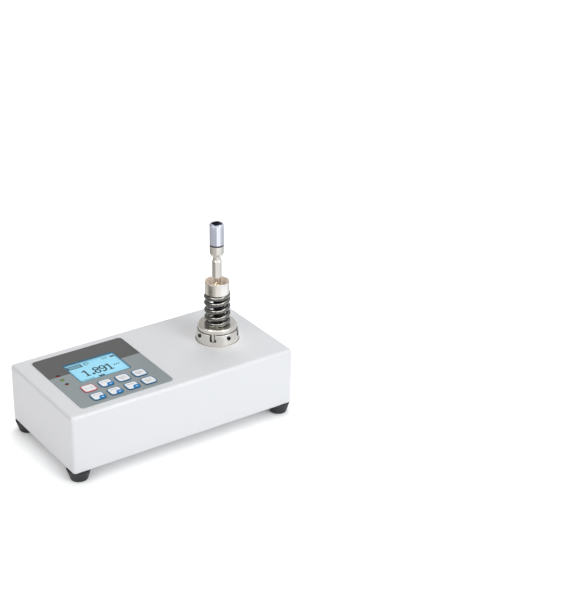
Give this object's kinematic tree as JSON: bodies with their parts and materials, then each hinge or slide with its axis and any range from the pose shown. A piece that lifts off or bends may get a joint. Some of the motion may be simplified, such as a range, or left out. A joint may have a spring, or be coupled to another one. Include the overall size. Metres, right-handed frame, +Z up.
{
  "type": "torque tester",
  "caption": "Bench torque tester: folded steel case with display and keypad, slotted torque ring and a spring joint with square drive.",
  "frame": {"origin": "middle of the footprint of the four feet, on the bench", "axes": "+X along the case towards the torque ring, +Y to the rear with its sockets, +Z up along the torque axis"},
  "size_m": [0.1874, 0.0974, 0.1465],
  "materials": {
    "white_enamel": "fine satin powder coat, off-white",
    "zinc_sheet": "zinc-plated sheet",
    "zinc_screw": "zinc-plated fasteners",
    "black_screw": "blackened steel",
    "panel_foil": "matt printed foil, dark band above and grey below",
    "clear_window": "clear hard-coated pane",
    "display": "light blue back-lit display",
    "circuit_board": "green solder mask",
    "black_plastic": "moulded black plastic",
    "lamp_orange": "tinted clear resin",
    "lamp_green": "tinted clear resin",
    "lamp_red": "tinted clear resin",
    "cell_wrap": "shrink wrap over cells",
    "tinned_shell": "tinned steel shell",
    "steel_plate": "ground steel plate",
    "sensor_aluminium": "turned aluminium",
    "nickel": "turned steel with bright nickel plating",
    "spring_steel": "oiled dark spring wire",
    "chrome_sleeve": "polished chrome",
    "black_rubber": "moulded black rubber",
    "key_white": "white cap with a blue rim",
    "key_red_rim": "white cap with a red rim"
  },
  "bodies": {
    "tester": {"housing_cover": "white_enamel", "base_plate": "zinc_sheet", "foot_front_left": "black_rubber", "foot_front_right": "black_rubber", "foot_rear_left": "black_rubber", "foot_rear_right": "black_rubber", "foot_screws": "zinc_screw", "foot_nuts": "zinc_screw", "front_foil": "panel_foil", "display_window": "clear_window", "display_module": "display", "keypad_board": "circuit_board", "board_pillars": "zinc_screw", "keypad_screws": "zinc_screw", "key_switches": "black_plastic", "lamp_orange": "lamp_orange", "lamp_green": "lamp_green", "lamp_red": "lamp_red", "main_board": "circuit_board", "board_posts": "zinc_screw", "main_board_screws": "zinc_screw", "battery_pack": "cell_wrap", "battery_strap": "zinc_sheet", "strap_screws": "zinc_screw", "power_socket": "black_plastic", "data_socket": "tinned_shell", "serial_shell": "tinned_shell", "serial_insert": "black_plastic", "sensor_plate": "steel_plate", "plate_screws": "zinc_screw", "torque_sensor": "sensor_aluminium", "sensor_screws": "black_screw", "sensor_ring": "nickel", "ring_screws": "black_screw", "set_screws": "black_screw", "joint_flange": "nickel", "joint_spring": "spring_steel"},
    "key_front_1": {"key_front_1": "key_white"},
    "key_front_2": {"key_front_2": "key_white"},
    "key_front_3": {"key_front_3": "key_white"},
    "key_front_4": {"key_front_4": "key_white"},
    "key_power": {"key_power": "key_red_rim"},
    "key_rear_2": {"key_rear_2": "key_white"},
    "key_rear_3": {"key_rear_3": "key_white"},
    "key_rear_4": {"key_rear_4": "key_white"},
    "cup": {"spring_cup": "nickel"},
    "drive": {"drive_screw": "black_screw", "hex_bit": "nickel", "bit_holder": "nickel", "holder_collar": "black_rubber", "drive_sleeve": "chrome_sleeve"}
  },
  "joints": [
    {"name": "key_front_1_press", "type": "slide", "parent": "tester", "child": "key_front_1", "axis": [0, 0, -1], "range_m": [0, 0.0004], "stiffness_N_per_m": 600},
    {"name": "key_front_2_press", "type": "slide", "parent": "tester", "child": "key_front_2", "axis": [0, 0, -1], "range_m": [0, 0.0004], "stiffness_N_per_m": 600},
    {"name": "key_front_3_press", "type": "slide", "parent": "tester", "child": "key_front_3", "axis": [0, 0, -1], "range_m": [0, 0.0004], "stiffness_N_per_m": 600},
    {"name": "key_front_4_press", "type": "slide", "parent": "tester", "child": "key_front_4", "axis": [0, 0, -1], "range_m": [0, 0.0004], "stiffness_N_per_m": 600},
    {"name": "key_power_press", "type": "slide", "parent": "tester", "child": "key_power", "axis": [0, 0, -1], "range_m": [0, 0.0004], "stiffness_N_per_m": 600},
    {"name": "key_rear_2_press", "type": "slide", "parent": "tester", "child": "key_rear_2", "axis": [0, 0, -1], "range_m": [0, 0.0004], "stiffness_N_per_m": 600},
    {"name": "key_rear_3_press", "type": "slide", "parent": "tester", "child": "key_rear_3", "axis": [0, 0, -1], "range_m": [0, 0.0004], "stiffness_N_per_m": 600},
    {"name": "key_rear_4_press", "type": "slide", "parent": "tester", "child": "key_rear_4", "axis": [0, 0, -1], "range_m": [0, 0.0004], "stiffness_N_per_m": 600},
    {"name": "cup_press", "type": "slide", "parent": "tester", "child": "cup", "axis": [0, 0, 1], "range_m": [-0.0061, 0], "deforming": ["joint_spring"]},
    {"name": "screw_turn", "type": "hinge", "parent": "cup", "child": "drive", "pos_m": [0.0562, 0, 0.066], "axis": [0, 0, 1], "range_deg": [-2160, 0]}
  ],
  "couplings": [
    {"joint": "cup_press", "follows": "screw_turn", "m_per_rad": 0.00015915}
  ]
}
